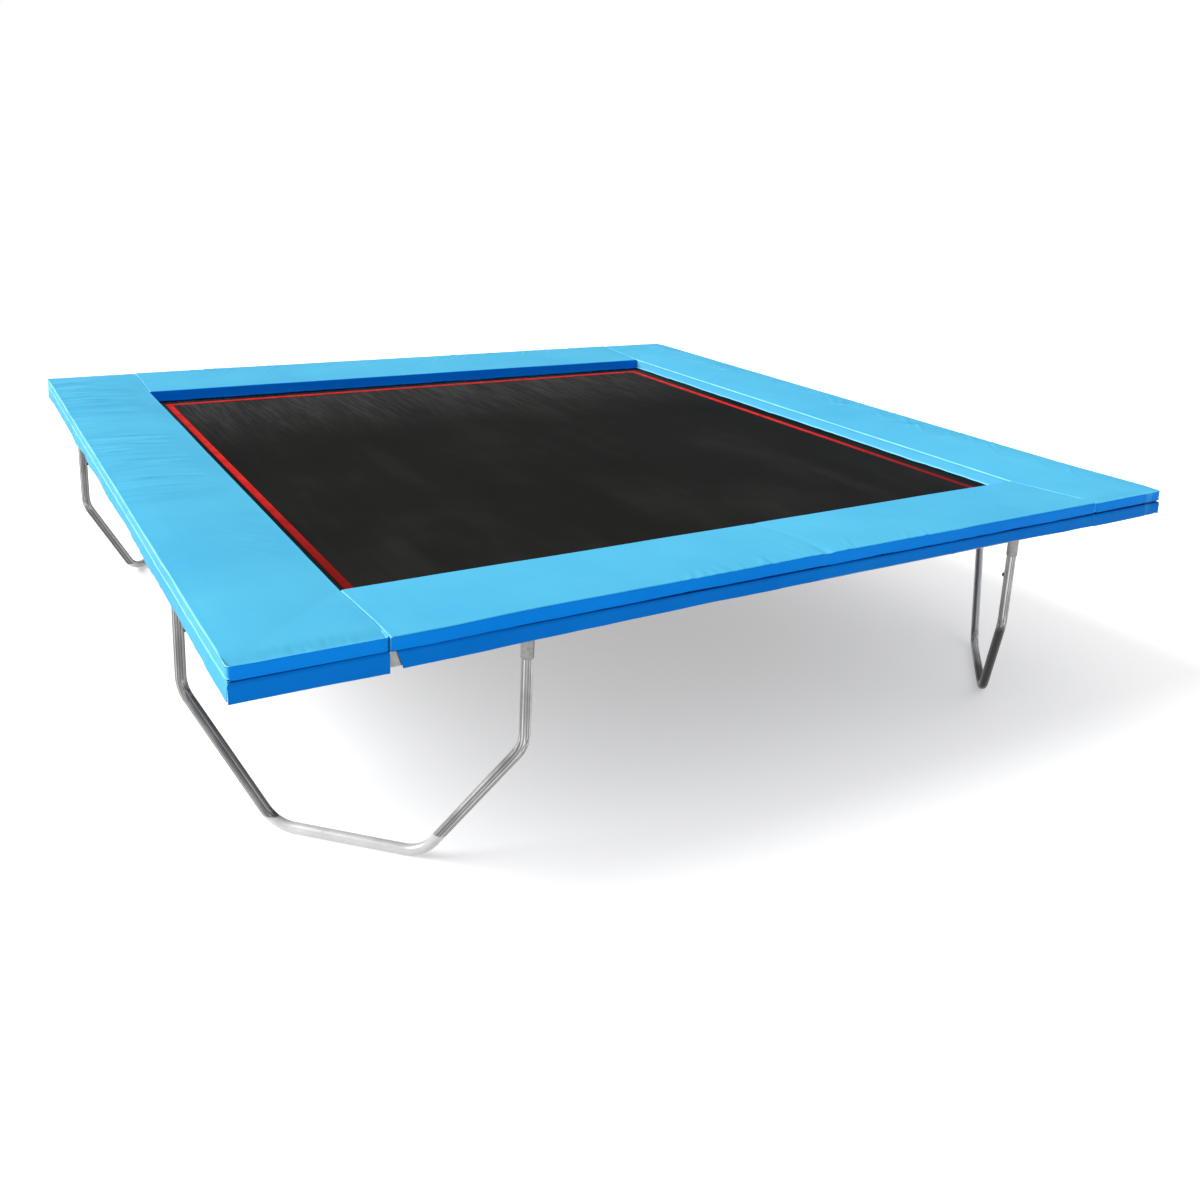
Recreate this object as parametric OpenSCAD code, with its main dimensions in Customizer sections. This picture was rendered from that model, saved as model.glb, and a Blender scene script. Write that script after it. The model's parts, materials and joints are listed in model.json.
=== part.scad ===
/* [Frame] */
// Distance between the centre lines of two opposite rails
frame_size = 3570; // [3000:10:4200]
// Height of the rails' top face above the floor
rail_top = 810; // [700:10:1000]
// Side of the square rail tube
rail_size = 45; // [40:1:60]
// Wall of the square rail tube
rail_wall = 2.5; // [2:0.5:4]
// Length of a corner piece's arm, from the crossing of the rail centre lines
corner_arm = 200; // [150:10:260]
// How far a corner's stub reaches into the rail
stub_reach = 80; // [60:5:120]
// Length of the sleeve that joins two half rails
sleeve_length = 300; // [200:10:400]

/* [Legs] */
// Distance of a leg socket from the middle of its rail
socket_place = 1005; // [900:5:1080]
// Outside diameter of the leg tube
leg_diameter = 34; // [32:1:42]
// Wall of the leg tube
leg_wall = 2; // [1.5:0.5:3]
// Height of the upper bends' corner points
bend_height = 429; // [380:1:480]
// Centre line radius of the bends
bend_radius = 120; // [80:5:140]
// Length of a leg socket
socket_length = 65; // [60:1:110]
// Height of the stop bolts
stop_bolt_height = 617; // [560:1:650]

/* [Bed] */
// Half the side of the jumping bed
bed_half = 1480; // [1400:5:1500]
// Thickness of the woven bed
bed_thickness = 2; // [1.5:0.5:3]
// Height of the bed's middle plane, which is also the springs' height
bed_height = 779; // [770:1:784]
// Half the side of the square that the red band's centre line makes
band_place = 1345; // [1250:5:1400]
// Width of the red band
band_width = 28; // [15:1:40]
// Width of the hem
hem_width = 60; // [40:1:75]

/* [Springs] */
// Springs along each side
springs_a_side = 24; // [12:2:26]
// Distance between neighbouring springs
spring_pitch = 110; // [100:1:110]
// Outside diameter of a coil
coil_diameter = 18; // [14:1:20]
// Diameter of the spring wire
wire_diameter = 3.2; // [2.5:0.1:4]

/* [Pads] */
// Overall width over the side pads
pads_width = 3660; // [3640:5:3700]
// Overall depth, which is the length of a side pad
pads_depth = 3630; // [3630:5:3680]
// Width of a side pad
side_pad_width = 412; // [380:1:430]
// Width of an end pad
end_pad_width = 397; // [370:1:415]
// Thickness of a pad
pad_thickness = 44; // [30:1:50]
// How much lower a pad's inner edge lies than its outer edge
pad_fall = 18; // [0:1:20]
// How much thicker a pad is at its inner edge than at its outer edge
pad_deepening = 11; // [0:1:11]
// Height of the hanging skirts
skirt_height = 46; // [30:1:60]
// Slack between an end pad and a side pad
pad_gap = 3; // [2:1:8]

/* [Hidden] */
SIDES = ["front", "right", "back", "left"];
CORNERS = ["front_right", "back_right", "back_left", "front_left"];
// Each side's two half rails, the half towards local +X first
HALVES = [["right", "left"], ["back", "front"], ["left", "right"], ["front", "back"]];
$fn = 48;

galvanised = "lightgray";
zinc = "silver";
dark_steel = "dimgray";
vinyl_blue = "deepskyblue";
skirt_blue = "dodgerblue";
mat_black = [0.12, 0.12, 0.12];
band_red = "crimson";

half_frame = frame_size / 2;
rail_low = rail_top - rail_size;
rail_middle = rail_top - rail_size / 2;
half_rail = half_frame - corner_arm;
rail_inner_face = half_frame - rail_size / 2;
// Clearance of a stub or a sleeve inside a rail
stub_slack = 0.2;
stub_size = rail_size - 2 * rail_wall - 2 * stub_slack;
// Screws
screw_radius = 2.8;
screw_hole_radius = 3.05;
screw_head_radius = 6;
screw_head_height = 4;
screw_length = 12;
screw_inset = 40;

// Legs: the two sockets of a corner lie on a line at 45 degrees
leg_radius = leg_diameter / 2;
leg_centre = (half_frame + socket_place) / 2;
half_span = round(10 * (half_frame - socket_place) / sqrt(2)) / 10;
leg_top = rail_low;
// The slants lean by 3 across to 4 up, so every bend ends on a round number
lean_across = 0.6;
lean_up = 0.8;
lean_angle = atan2(lean_across, lean_up);
upper_cut = bend_radius / 3;
lower_cut = bend_radius / 2;
slant_run = (bend_height - leg_radius) * lean_across / lean_up;
slant_length = (bend_height - leg_radius) / lean_up - upper_cut - lower_cut;
base_corner = half_span - slant_run;
base_run = base_corner - lower_cut;
socket_slack = 0.15;
socket_bore = leg_radius + socket_slack;
socket_wall = 2.35;
socket_chamfer = 1.4;
// Stop bolts
bolt_radius = 4;
bolt_hole_radius = 4.2;
bolt_length = 16;
bolt_head_radius = 7.5;
bolt_head_height = 8;

// Bed edge
band_thickness = 1.2;
hem_thickness = 0.9;
tab_width = 30;
tab_thickness = 1.2;
tab_reach = 40;
ring_wire_radius = 2;
weld_bead = 0.3;
bar_gap = 7;
ring_bar_place = bed_half + bar_gap;
ring_bend = 3;
ring_side = 25;
ring_apex = ring_bar_place + ring_side * lean_up + 2 * ring_bend;
tab_slack = 0.1;
tab_inner_radius = ring_wire_radius + tab_slack;
tab_outer_radius = tab_inner_radius + tab_thickness;

// Springs, measured outwards from the middle of the bed
wire_radius = wire_diameter / 2;
coil_radius = coil_diameter / 2;
hook_radius = 5.5;
hook_place = ring_apex;
hook_stub = 9;
coil_start = hook_place + hook_radius + hook_stub;
coil_gap = 16;
coil_end = rail_inner_face - coil_gap;
coil_length = coil_end - coil_start;
hook_turn = 290;
hook_closing = 200;
tip_gap = 4.3;
hook_corner = rail_inner_face + 2 * rail_wall + stub_slack + tip_gap;
tip_length = 12;
tip_lean = 100;
slot_size = 8;

// Pads
cover_thickness = 1.5;
foam_slack = 0.3;
foam_split = 1;
strap_width = 25;
strap_thickness = 1.2;
strap_slack = 0.3;
pad_lift = 2;
pad_low = rail_top + pad_lift;
notch_slack = 2;
// How far inside the rail a pad starts to fall
flat_margin = 10;
side_flat = pads_width / 2 - rail_inner_face + flat_margin;
end_flat = pads_depth / 2 - rail_inner_face + flat_margin;
end_pad_length = pads_width - 2 * side_pad_width - 2 * pad_gap;
skirt_thickness = 1.5;
skirt_cut_top = 25;
skirt_cut_low = 44;
strap_places = [-11, -6, 0, 6, 11];
// An overshoot that keeps cutters clear of the faces they cut
over = 1;

function spring_place(i) = (i - (springs_a_side - 1) / 2) * spring_pitch;

// Turns what is drawn at the front side to side 0 front, 1 right, 2 back or 3 left
module at_side(side) rotate([0, 0, 90 * side]) children();

// A box section along +X, centred on the X axis
module box_tube(length, size, wall) {
    translate([0, -size / 2, -size / 2])
        difference() {
            cube([length, size, size]);
            translate([-over, wall, wall])
                cube([length + 2 * over, size - 2 * wall, size - 2 * wall]);
        }
}

// Cutters for the slots that the springs on the +X half of the front side hook into
module spring_slots() {
    for (i = [springs_a_side / 2:springs_a_side - 1])
        translate([spring_place(i), -rail_inner_face, bed_height])
            cube([slot_size, 4 * rail_wall + over, slot_size], center = true);
}

// The half of the front rail towards +X, with its spring slots and screw holes
module half_rail_part() {
    color(galvanised)
        difference() {
            translate([0, -half_frame, rail_middle]) box_tube(half_rail, rail_size, rail_wall);
            spring_slots();
            for (x = [screw_inset, half_rail - screw_inset])
                translate([x, -half_frame, rail_low - over])
                    cylinder(r = screw_hole_radius, h = rail_wall + 2 * over);
        }
}

module half_rail_at(side, half) at_side(side) mirror([half, 0, 0]) half_rail_part();

// One arm of the front right corner piece, along the front rail
module corner_arm_part() {
    translate([half_rail, -half_frame, rail_middle])
        box_tube(corner_arm + rail_size / 2, rail_size, rail_wall);
    translate([half_rail - stub_reach, -half_frame, rail_middle])
        difference() {
            box_tube(stub_reach + screw_inset, stub_size, rail_wall);
            translate([stub_reach - screw_inset, 0, -stub_size / 2 - over])
                cylinder(r = screw_hole_radius, h = rail_wall + 2 * over);
        }
    // The weld seat where the stub is fixed inside the arm
    translate([half_rail, -half_frame, rail_middle])
        box_tube(screw_inset, rail_size - over, rail_wall + stub_slack);
}

// The triangle above the mitre line of the front right corner
module mitre_side() {
    reach = 2 * corner_arm + 2 * stub_reach;
    translate([half_frame, -half_frame, rail_low - over])
        linear_extrude(height = rail_size + 2 * over)
            polygon([[rail_size, -rail_size], [-reach, -rail_size], [-reach, reach]]);
}

module corner_part() {
    color(galvanised) {
        intersection() {
            corner_arm_part();
            mitre_side();
        }
        mirror([1, 1, 0])
            intersection() {
                corner_arm_part();
                mitre_side();
            }
    }
}

module rail_sleeves() {
    color(galvanised)
        for (side = [0:3])
            at_side(side)
                difference() {
                    translate([-sleeve_length / 2, -half_frame, rail_middle])
                        box_tube(sleeve_length, stub_size, rail_wall);
                    for (flip = [0, 1])
                        mirror([flip, 0, 0]) {
                            spring_slots();
                            translate([screw_inset, -half_frame, rail_low])
                                cylinder(r = screw_hole_radius, h = 2 * rail_wall + over);
                        }
                }
}

// A hexagon head screw that points up, with its head below z = 0
module screw(shank_radius, length, head_radius, head_height) {
    cylinder(r = shank_radius, h = length);
    translate([0, 0, -head_height])
        cylinder(r = head_radius, h = head_height, $fn = 6);
}

module frame_screws() {
    color(zinc)
        for (side = [0:3])
            for (x = [screw_inset, half_rail - screw_inset])
                for (way = [-1, 1])
                    at_side(side)
                        translate([way * x, -half_frame, rail_low])
                            screw(screw_radius, screw_length, screw_head_radius, screw_head_height);
}

module leg_sockets() {
    color(galvanised)
        for (side = [0:3])
            for (way = [-1, 1])
                at_side(side)
                    translate([way * socket_place, -half_frame, rail_low - socket_length])
                        rotate_extrude()
                            polygon([
                                [socket_bore, 0],
                                [socket_bore + socket_wall - socket_chamfer, 0],
                                [socket_bore + socket_wall, 2 * socket_chamfer],
                                [socket_bore + socket_wall, socket_length],
                                [socket_bore, socket_length]
                            ]);
}

// Part of a bend about its centre, between two directions that a wedge gives
module bend(radius, wedge) {
    intersection() {
        rotate([90, 0, 0])
            rotate_extrude($fn = 96) translate([bend_radius, 0]) circle(r = radius);
        rotate([90, 0, 0])
            linear_extrude(height = 4 * radius, center = true) polygon(2 * bend_radius * wedge);
    }
}

// One half of a leg in its own plane, from the middle of the base bar up to the top
module leg_half(radius, past) {
    rotate([0, 90, 0]) cylinder(r = radius, h = base_run);
    translate([base_run, 0, bend_radius])
        bend(radius, [[0, 0], [lean_up, -lean_across], [1, -1], [0, -1]]);
    translate([base_corner + lower_cut * lean_across, 0, lower_cut * lean_up])
        rotate([0, lean_angle, 0]) cylinder(r = radius, h = slant_length);
    translate([half_span - bend_radius, 0, bend_height - leg_radius + upper_cut])
        bend(radius, [[0, 0], [1, 0], [lean_up, -lean_across]]);
    translate([half_span, 0, bend_height - leg_radius + upper_cut])
        cylinder(r = radius, h = leg_top - bend_height - upper_cut + past);
}

module leg_rod(radius, past) {
    translate([0, 0, leg_radius]) {
        leg_half(radius, past);
        mirror([1, 0, 0]) leg_half(radius, past);
    }
}

// Cutter for the stop bolts' holes in the inner walls of the front right leg
module stop_bolt_holes() {
    for (flip = [0, 1])
        mirror([flip, flip, 0])
            translate([socket_place, -half_frame, stop_bolt_height])
                rotate([-90, 0, 0])
                    cylinder(r = bolt_hole_radius, h = leg_radius + over);
}

// The front right leg, from the front rail's socket to the right rail's
module leg_part() {
    color(galvanised)
        difference() {
            translate([leg_centre, -leg_centre, 0])
                rotate([0, 0, 45])
                    difference() {
                        leg_rod(leg_radius, 0);
                        leg_rod(leg_radius - leg_wall, over);
                    }
            stop_bolt_holes();
        }
}

module leg_stop_bolts() {
    color(dark_steel)
        for (side = [0:3])
            for (way = [-1, 1])
                at_side(side)
                    translate([way * socket_place, leg_radius - half_frame, stop_bolt_height])
                        rotate([90, 0, 0])
                            screw(bolt_radius, bolt_length, bolt_head_radius, bolt_head_height);
}

module jumping_bed() {
    color(mat_black)
        translate([0, 0, bed_height])
            cube([2 * bed_half, 2 * bed_half, bed_thickness], center = true);
}

// A flat square ring on the bed, low face at z = 0
module square_ring(outer_half, width, thickness) {
    linear_extrude(height = thickness)
        difference() {
            square(2 * outer_half, center = true);
            square(2 * (outer_half - width), center = true);
        }
}

module bed_hem() {
    color(mat_black)
        for (z = [bed_height + bed_thickness / 2, bed_height - bed_thickness / 2 - hem_thickness])
            translate([0, 0, z]) square_ring(bed_half, hem_width, hem_thickness);
}

module bed_band() {
    color(band_red)
        translate([0, 0, bed_height + bed_thickness / 2])
            square_ring(band_place + band_width / 2, band_width, band_thickness);
}

// A loop of webbing round a ring's bar and over both faces of the hem
module ring_tab() {
    translate([-tab_width / 2, 0, 0])
        rotate([90, 0, 90])
            linear_extrude(height = tab_width)
                difference() {
                    union() {
                        translate([-ring_bar_place, 0]) circle(r = tab_outer_radius);
                        translate([-ring_bar_place, -tab_outer_radius])
                            square([tab_reach, 2 * tab_outer_radius]);
                    }
                    translate([-ring_bar_place, 0]) circle(r = tab_inner_radius);
                    translate([-ring_bar_place, -tab_inner_radius])
                        square([tab_reach + over, 2 * tab_inner_radius]);
                }
}

module ring_tabs(side) {
    color(mat_black)
        at_side(side)
            for (i = [0:springs_a_side - 1])
                translate([spring_place(i), 0, bed_height]) ring_tab();
}

// Part of a bend that lies flat, between the two directions that a wedge gives
module flat_bend(wedge) {
    intersection() {
        rotate_extrude() translate([ring_bend, 0]) circle(r = ring_wire_radius, $fn = 24);
        linear_extrude(height = 4 * ring_wire_radius, center = true)
            polygon(4 * ring_bend * wedge);
    }
}

// The +X half of a ring that points outwards from its bar, which lies on the X axis
module half_ring() {
    rotate([0, 90, 0]) cylinder(r = ring_wire_radius, h = ring_side * lean_across, $fn = 24);
    translate([ring_side * lean_across, ring_bend, 0])
        flat_bend([[0, 0], [0, -1], [2 * lean_across, -1], [2 * lean_across, 1.5 * lean_across]]);
    translate([ring_bend * lean_up, ring_bend + ring_side * lean_up + ring_bend * lean_across, 0])
        rotate([90, 0, lean_angle]) cylinder(r = ring_wire_radius, h = ring_side, $fn = 24);
    translate([0, ring_bend + ring_side * lean_up, 0])
        flat_bend([[0, 0], [lean_up, lean_across], [lean_up, 1.5 * lean_up], [0, 1.5 * lean_up]]);
}

module v_ring() {
    translate([0, -ring_bar_place, 0])
        rotate([0, 0, 180]) {
            half_ring();
            mirror([1, 0, 0]) half_ring();
        }
}

module v_rings(side) {
    color(zinc)
        at_side(side)
            for (i = [0:springs_a_side - 1])
                translate([spring_place(i), 0, bed_height]) v_ring();
}

// One spring along +Z: eye hook at the ring, closed coil, L hook through the rail's slot
module spring() {
    translate([0, 0, hook_place])
        rotate([0, 90, 0])
            rotate([0, 0, hook_closing - hook_turn])
                rotate_extrude(angle = hook_turn, $fn = 24)
                    translate([hook_radius, 0]) circle(r = wire_radius);
    translate([0, 0, hook_place + hook_radius])
        cylinder(r = wire_radius + weld_bead, h = hook_stub + wire_diameter, $fn = 24);
    translate([0, 0, coil_start])
        difference() {
            cylinder(r = coil_radius, h = coil_length);
            translate([0, 0, -over])
                cylinder(r = coil_radius - wire_diameter, h = coil_length + 2 * over);
        }
    for (z = [coil_start + wire_diameter, coil_end - wire_diameter])
        translate([0, 0, z])
            rotate([0, 90, 0])
                cylinder(r = wire_radius, h = 2 * coil_radius - wire_diameter, center = true, $fn = 24);
    translate([0, 0, coil_end - wire_diameter])
        cylinder(r = wire_radius + weld_bead, h = hook_corner - coil_end + wire_diameter, $fn = 24);
    translate([0, 0, hook_corner]) {
        sphere(r = wire_radius + 2 * weld_bead, $fn = 24);
        rotate([180 - tip_lean, 0, 0])
            translate([0, 0, -tip_length])
                cylinder(r = wire_radius, h = tip_length, $fn = 24);
    }
}

module springs(side) {
    color(zinc)
        at_side(side)
            for (i = [0:springs_a_side - 1])
                translate([spring_place(i), 0, bed_height]) rotate([90, 0, 0]) spring();
}

// A pad's cross-section, x from its outer edge inwards: flat on the rail, then falling
module pad_section(width, flat, inset) {
    polygon([
        [inset, inset],
        [flat, inset],
        [width - inset, inset - pad_fall - pad_deepening],
        [width - inset, pad_thickness - inset - pad_fall],
        [flat, pad_thickness - inset],
        [inset, pad_thickness - inset]
    ]);
}

// A pad along the front side, its outer face at y = -outer
module pad_body(outer, length, width, flat, inset) {
    translate([length / 2 - inset, -outer, pad_low])
        rotate([90, 0, -90])
            mirror([1, 0, 0])
                linear_extrude(height = length - 2 * inset) pad_section(width, flat, inset);
}

module end_pad(inset) pad_body(pads_depth / 2, end_pad_length, end_pad_width, end_flat, inset);

// A side pad also crosses the rails at its two ends, which press into it from below
module side_pad(inset) {
    difference() {
        pad_body(pads_width / 2, pads_depth, side_pad_width, side_flat, inset);
        for (flip = [0, 1])
            mirror([flip, 0, 0])
                translate([rail_inner_face - notch_slack - inset, -frame_size, rail_low])
                    cube([2 * rail_size, frame_size, pad_low + inset - rail_low]);
    }
}

module pad(side, inset) {
    at_side(side)
        if (side % 2 == 0)
            end_pad(inset);
        else
            side_pad(inset);
}

module pad_cover(side) {
    color(vinyl_blue)
        difference() {
            pad(side, 0);
            pad(side, cover_thickness);
        }
}

// Two foam halves, laid end to end inside one cover
module pad_foam(side) {
    color("white")
        difference() {
            pad(side, cover_thickness + foam_slack);
            translate([0, 0, pad_low])
                at_side(side) cube([foam_split, 2 * pads_depth, 4 * pad_thickness], center = true);
        }
}

// A hanging strip of an end pad, cut at a slant at its -X end
module end_skirt() {
    low = pad_low - skirt_height;
    left = -end_pad_length / 2;
    right = end_pad_length / 2;
    translate([0, skirt_thickness - pads_depth / 2, 0])
        rotate([90, 0, 0])
            linear_extrude(height = skirt_thickness)
                polygon([
                    [left + skirt_cut_top, pad_low],
                    [left + skirt_cut_low, low],
                    [right, low],
                    [right, pad_low]
                ]);
}

module side_skirt() {
    translate([-pads_depth / 2 + 2 * skirt_thickness, -pads_width / 2, pad_low - skirt_height])
        cube([pads_depth - 4 * skirt_thickness, skirt_thickness, skirt_height]);
}

module skirt(side) {
    color(skirt_blue)
        at_side(side)
            if (side % 2 == 0)
                end_skirt();
            else
                side_skirt();
}

// The strips at the two ends of each side pad
module skirt_ends() {
    color(skirt_blue)
        for (turn = [0, 2])
            for (flip = [0, 1])
                at_side(turn)
                    mirror([flip, 0, 0])
                        translate([pads_width / 2 - side_pad_width, -pads_depth / 2, pad_low - skirt_height])
                            cube([side_pad_width, skirt_thickness, skirt_height]);
}

// A webbing loop round the front rail
module strap() {
    inner = rail_size + 2 * strap_slack;
    outer = inner + 2 * strap_thickness;
    translate([0, -half_frame, rail_middle])
        difference() {
            cube([strap_width, outer, outer], center = true);
            cube([strap_width + 2 * over, inner, inner], center = true);
        }
}

module pad_straps() {
    color(mat_black)
        for (side = [0:3])
            at_side(side)
                for (place = strap_places)
                    translate([place * spring_pitch, 0, 0]) strap();
}

for (side = [0:3])
    for (half = [0:1])
        half_rail_at(side, half);
for (i = [0:3])
    at_side(i) corner_part();
rail_sleeves();
frame_screws();
leg_sockets();
leg_stop_bolts();
for (i = [0:3])
    at_side(i) leg_part();
jumping_bed();
bed_hem();
bed_band();
for (side = [0:3]) {
    ring_tabs(side);
    v_rings(side);
    springs(side);
    pad_cover(side);
    pad_foam(side);
    skirt(side);
}
skirt_ends();
pad_straps();
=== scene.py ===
"""Looks of the square trampoline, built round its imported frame."""
import json
import math

import bmesh
import bpy
import numpy as np
from mathutils import Matrix, Vector


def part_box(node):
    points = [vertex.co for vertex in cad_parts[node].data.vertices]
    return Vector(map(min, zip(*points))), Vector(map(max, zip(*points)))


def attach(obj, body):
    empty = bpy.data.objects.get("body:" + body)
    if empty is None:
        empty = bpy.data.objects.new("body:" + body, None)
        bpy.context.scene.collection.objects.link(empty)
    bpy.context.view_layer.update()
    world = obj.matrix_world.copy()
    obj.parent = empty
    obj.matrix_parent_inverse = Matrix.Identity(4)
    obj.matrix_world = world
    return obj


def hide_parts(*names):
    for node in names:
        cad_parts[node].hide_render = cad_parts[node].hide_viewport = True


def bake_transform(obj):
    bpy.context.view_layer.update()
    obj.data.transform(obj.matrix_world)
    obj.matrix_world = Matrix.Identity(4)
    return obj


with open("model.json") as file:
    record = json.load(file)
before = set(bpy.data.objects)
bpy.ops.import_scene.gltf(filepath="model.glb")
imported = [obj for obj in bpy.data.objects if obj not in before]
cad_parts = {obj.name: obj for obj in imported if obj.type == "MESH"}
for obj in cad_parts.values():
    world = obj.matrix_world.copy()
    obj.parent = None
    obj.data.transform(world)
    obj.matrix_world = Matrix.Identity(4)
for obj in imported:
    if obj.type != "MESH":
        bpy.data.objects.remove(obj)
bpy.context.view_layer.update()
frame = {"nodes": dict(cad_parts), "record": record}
nodes = frame["nodes"]

SIDES = ["front", "right", "back", "left"]
# cosine and sine of each side's turn from the front
QUARTER_TURNS = [(1, 0), (0, 1), (-1, 0), (0, -1)]
CORNERS = ["front_right", "back_right", "back_left", "front_left"]
MM = 0.001
SHARP_FROM = math.radians(38)
NOISE_TABLE = 64


# ---------------------------------------------------------------- helpers
def turned(points, side):
    """Points in a side's own terms (along, outwards, up), as the frame's x, y and z."""
    p = np.asarray(points, float)
    x, y, z = p[..., 0], -p[..., 1], p[..., 2]
    c, n = QUARTER_TURNS[side]
    return np.stack([c * x - n * y, n * x + c * y, z], -1)


def noise(x, y, seed):
    """Smooth noise from -1 to 1, one cell a unit."""
    table = np.random.default_rng(seed).uniform(-1, 1, (NOISE_TABLE, NOISE_TABLE))
    xi, yi = np.floor(x).astype(int), np.floor(y).astype(int)
    fx, fy = x - xi, y - yi
    fx, fy = fx * fx * (3 - 2 * fx), fy * fy * (3 - 2 * fy)
    a, b = xi % NOISE_TABLE, yi % NOISE_TABLE
    a2, b2 = (a + 1) % NOISE_TABLE, (b + 1) % NOISE_TABLE
    low = table[a, b] * (1 - fx) + table[a2, b] * fx
    high = table[a, b2] * (1 - fx) + table[a2, b2] * fx
    return low * (1 - fy) + high * fy


def smooth(x, a, b):
    """0 up to a, 1 from b on, and an even turn between."""
    t = np.clip((x - a) / (b - a), 0, 1)
    return t * t * (3 - 2 * t)


def bell(x, width):
    return np.exp(-((x / width) ** 2))


def faces_kept(quads):
    """Quads as lists, with repeated corners dropped."""
    out = []
    for q in quads.tolist():
        f = [q[i] for i in range(len(q)) if q[i] != q[i - 1]]
        if len(set(f)) >= 3:
            out.append(f)
    return out


def faces_outwards(mesh):
    bm = bmesh.new()
    bm.from_mesh(mesh)
    bmesh.ops.recalc_face_normals(bm, faces=bm.faces)
    bm.to_mesh(mesh)
    bm.free()


def make(name, verts, faces, slot):
    """A smooth piece with the material of its slot."""
    mesh = bpy.data.meshes.new(name)
    if isinstance(faces, np.ndarray):
        faces = faces.tolist()
    mesh.from_pydata(np.asarray(verts).tolist(), [], faces)
    mesh.polygons.foreach_set("use_smooth", [True] * len(mesh.polygons))
    mesh.set_sharp_from_angle(angle=SHARP_FROM)
    mesh.materials.append(LOOKS[slot])
    mesh.update()
    obj = bpy.data.objects.new(name, mesh)
    bpy.context.scene.collection.objects.link(obj)
    faces_outwards(mesh)
    return obj


def joined(parts):
    """(verts, faces) of several (verts, faces) together."""
    verts, faces, count = [], [], 0
    for v, f in parts:
        verts.append(np.asarray(v, float))
        faces.extend([[i + count for i in q] for q in f])
        count += len(v)
    return np.concatenate(verts), faces


def normals_of(verts, quads):
    a, b, c, d = (verts[quads[:, i]] for i in range(4))
    n = np.cross(c - a, d - b)
    out = np.zeros_like(verts)
    for i in range(4):
        np.add.at(out, quads[:, i], n)
    return out / np.maximum(np.linalg.norm(out, axis=1, keepdims=True), 1e-12)


def grid_quads(ids, flip=False):
    a, b, c, d = ids[:-1, :-1], ids[1:, :-1], ids[1:, 1:], ids[:-1, 1:]
    q = np.stack([a, b, c, d] if not flip else [a, d, c, b], -1)
    return q.reshape(-1, 4)


def slab(top, bottom):
    """A closed sheet between two grids of points (n, m, 3)."""
    n, m = top.shape[:2]
    ids = np.arange(n * m).reshape(n, m)
    low = ids + n * m
    quads = [grid_quads(ids), grid_quads(low, True)]
    for edge, edge_low, flip in (
        (ids[:, 0], low[:, 0], False), (ids[:, -1], low[:, -1], True),
        (ids[0, :], low[0, :], True), (ids[-1, :], low[-1, :], False),
    ):
        pair = np.stack([edge_low, edge], 1)
        quads.append(grid_quads(pair, flip))
    verts = np.concatenate([top.reshape(-1, 3), bottom.reshape(-1, 3)])
    return verts, np.concatenate(quads)


def unit(vectors):
    return vectors / np.linalg.norm(vectors, axis=1, keepdims=True)


def directions(p, closed):
    """The unit direction of a path at each of its points."""
    ahead = np.roll(p, -1, 0) - p
    back = p - np.roll(p, 1, 0)
    if not closed:
        ahead[-1], back[0] = back[-1], ahead[0]
    return unit(unit(ahead) + unit(back))


def skin(n, m, closed=False, flip=False):
    """Faces round n rings of m points each, with flat ends unless the last ring meets the first."""
    ids = np.arange(n * m).reshape(n, m)
    wrap = np.concatenate([ids, ids[:, :1]], 1)
    if closed:
        wrap = np.concatenate([wrap, wrap[:1]], 0)
    faces = grid_quads(wrap, flip).tolist()
    if not closed:
        faces += [ids[0].tolist(), ids[-1][::-1].tolist()]
    return faces


def tube(path, radius, sides=8, closed=False):
    """A round wire along a path of points."""
    p = np.asarray(path, float)
    n = len(p)
    t = directions(p, closed)
    u = np.zeros_like(p)
    # any direction that no path here runs along
    first = np.cross(t[0], [0.3, 0.5, 0.81])
    u[0] = first / np.linalg.norm(first)
    for i in range(1, n):
        w = u[i - 1] - t[i] * (u[i - 1] @ t[i])
        u[i] = w / np.linalg.norm(w)
    v = np.cross(t, u)
    a = np.arange(sides) * 2 * math.pi / sides
    ring = np.cos(a)[None, :, None] * u[:, None] + np.sin(a)[None, :, None] * v[:, None]
    verts = (p[:, None] + radius * ring).reshape(-1, 3)
    return verts, skin(n, sides, closed, flip=True)


def ribbon(path, width, thickness, closed=False, columns=4):
    """A flat strap with slightly rounded edges, along a path of (outwards, up), its width along the side."""
    p = np.asarray(path, float)
    t = directions(p, closed)
    out = np.stack([t[:, 1], -t[:, 0]], 1)
    half, h = width / 2, thickness / 2
    xs = np.linspace(-half + h, half - h, columns)
    section = np.array([(-half, 0)] + [(x, h) for x in xs] + [(half, 0)] + [(x, -h) for x in xs[::-1]])
    n, m = len(p), len(section)
    verts = np.zeros((n, m, 3))
    verts[:, :, 0] = section[None, :, 0]
    verts[:, :, 1] = p[:, None, 0] + out[:, None, 0] * section[None, :, 1]
    verts[:, :, 2] = p[:, None, 1] + out[:, None, 1] * section[None, :, 1]
    return verts.reshape(-1, 3), skin(n, m, closed)


# ---------------------------------------------------------------- materials
# a noise texture seldom goes beyond these
NOISE_LOW, NOISE_HIGH = 0.3, 0.7


def set_stops(color_ramp, stops):
    """Gives a colour ramp its stops: (place, (red, green, blue))."""
    ends = color_ramp.elements
    while len(ends) < len(stops):
        ends.new(0.5)
    for end, (at, color) in zip(ends, stops):
        end.position = at
        end.color = (*color, 1)


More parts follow.
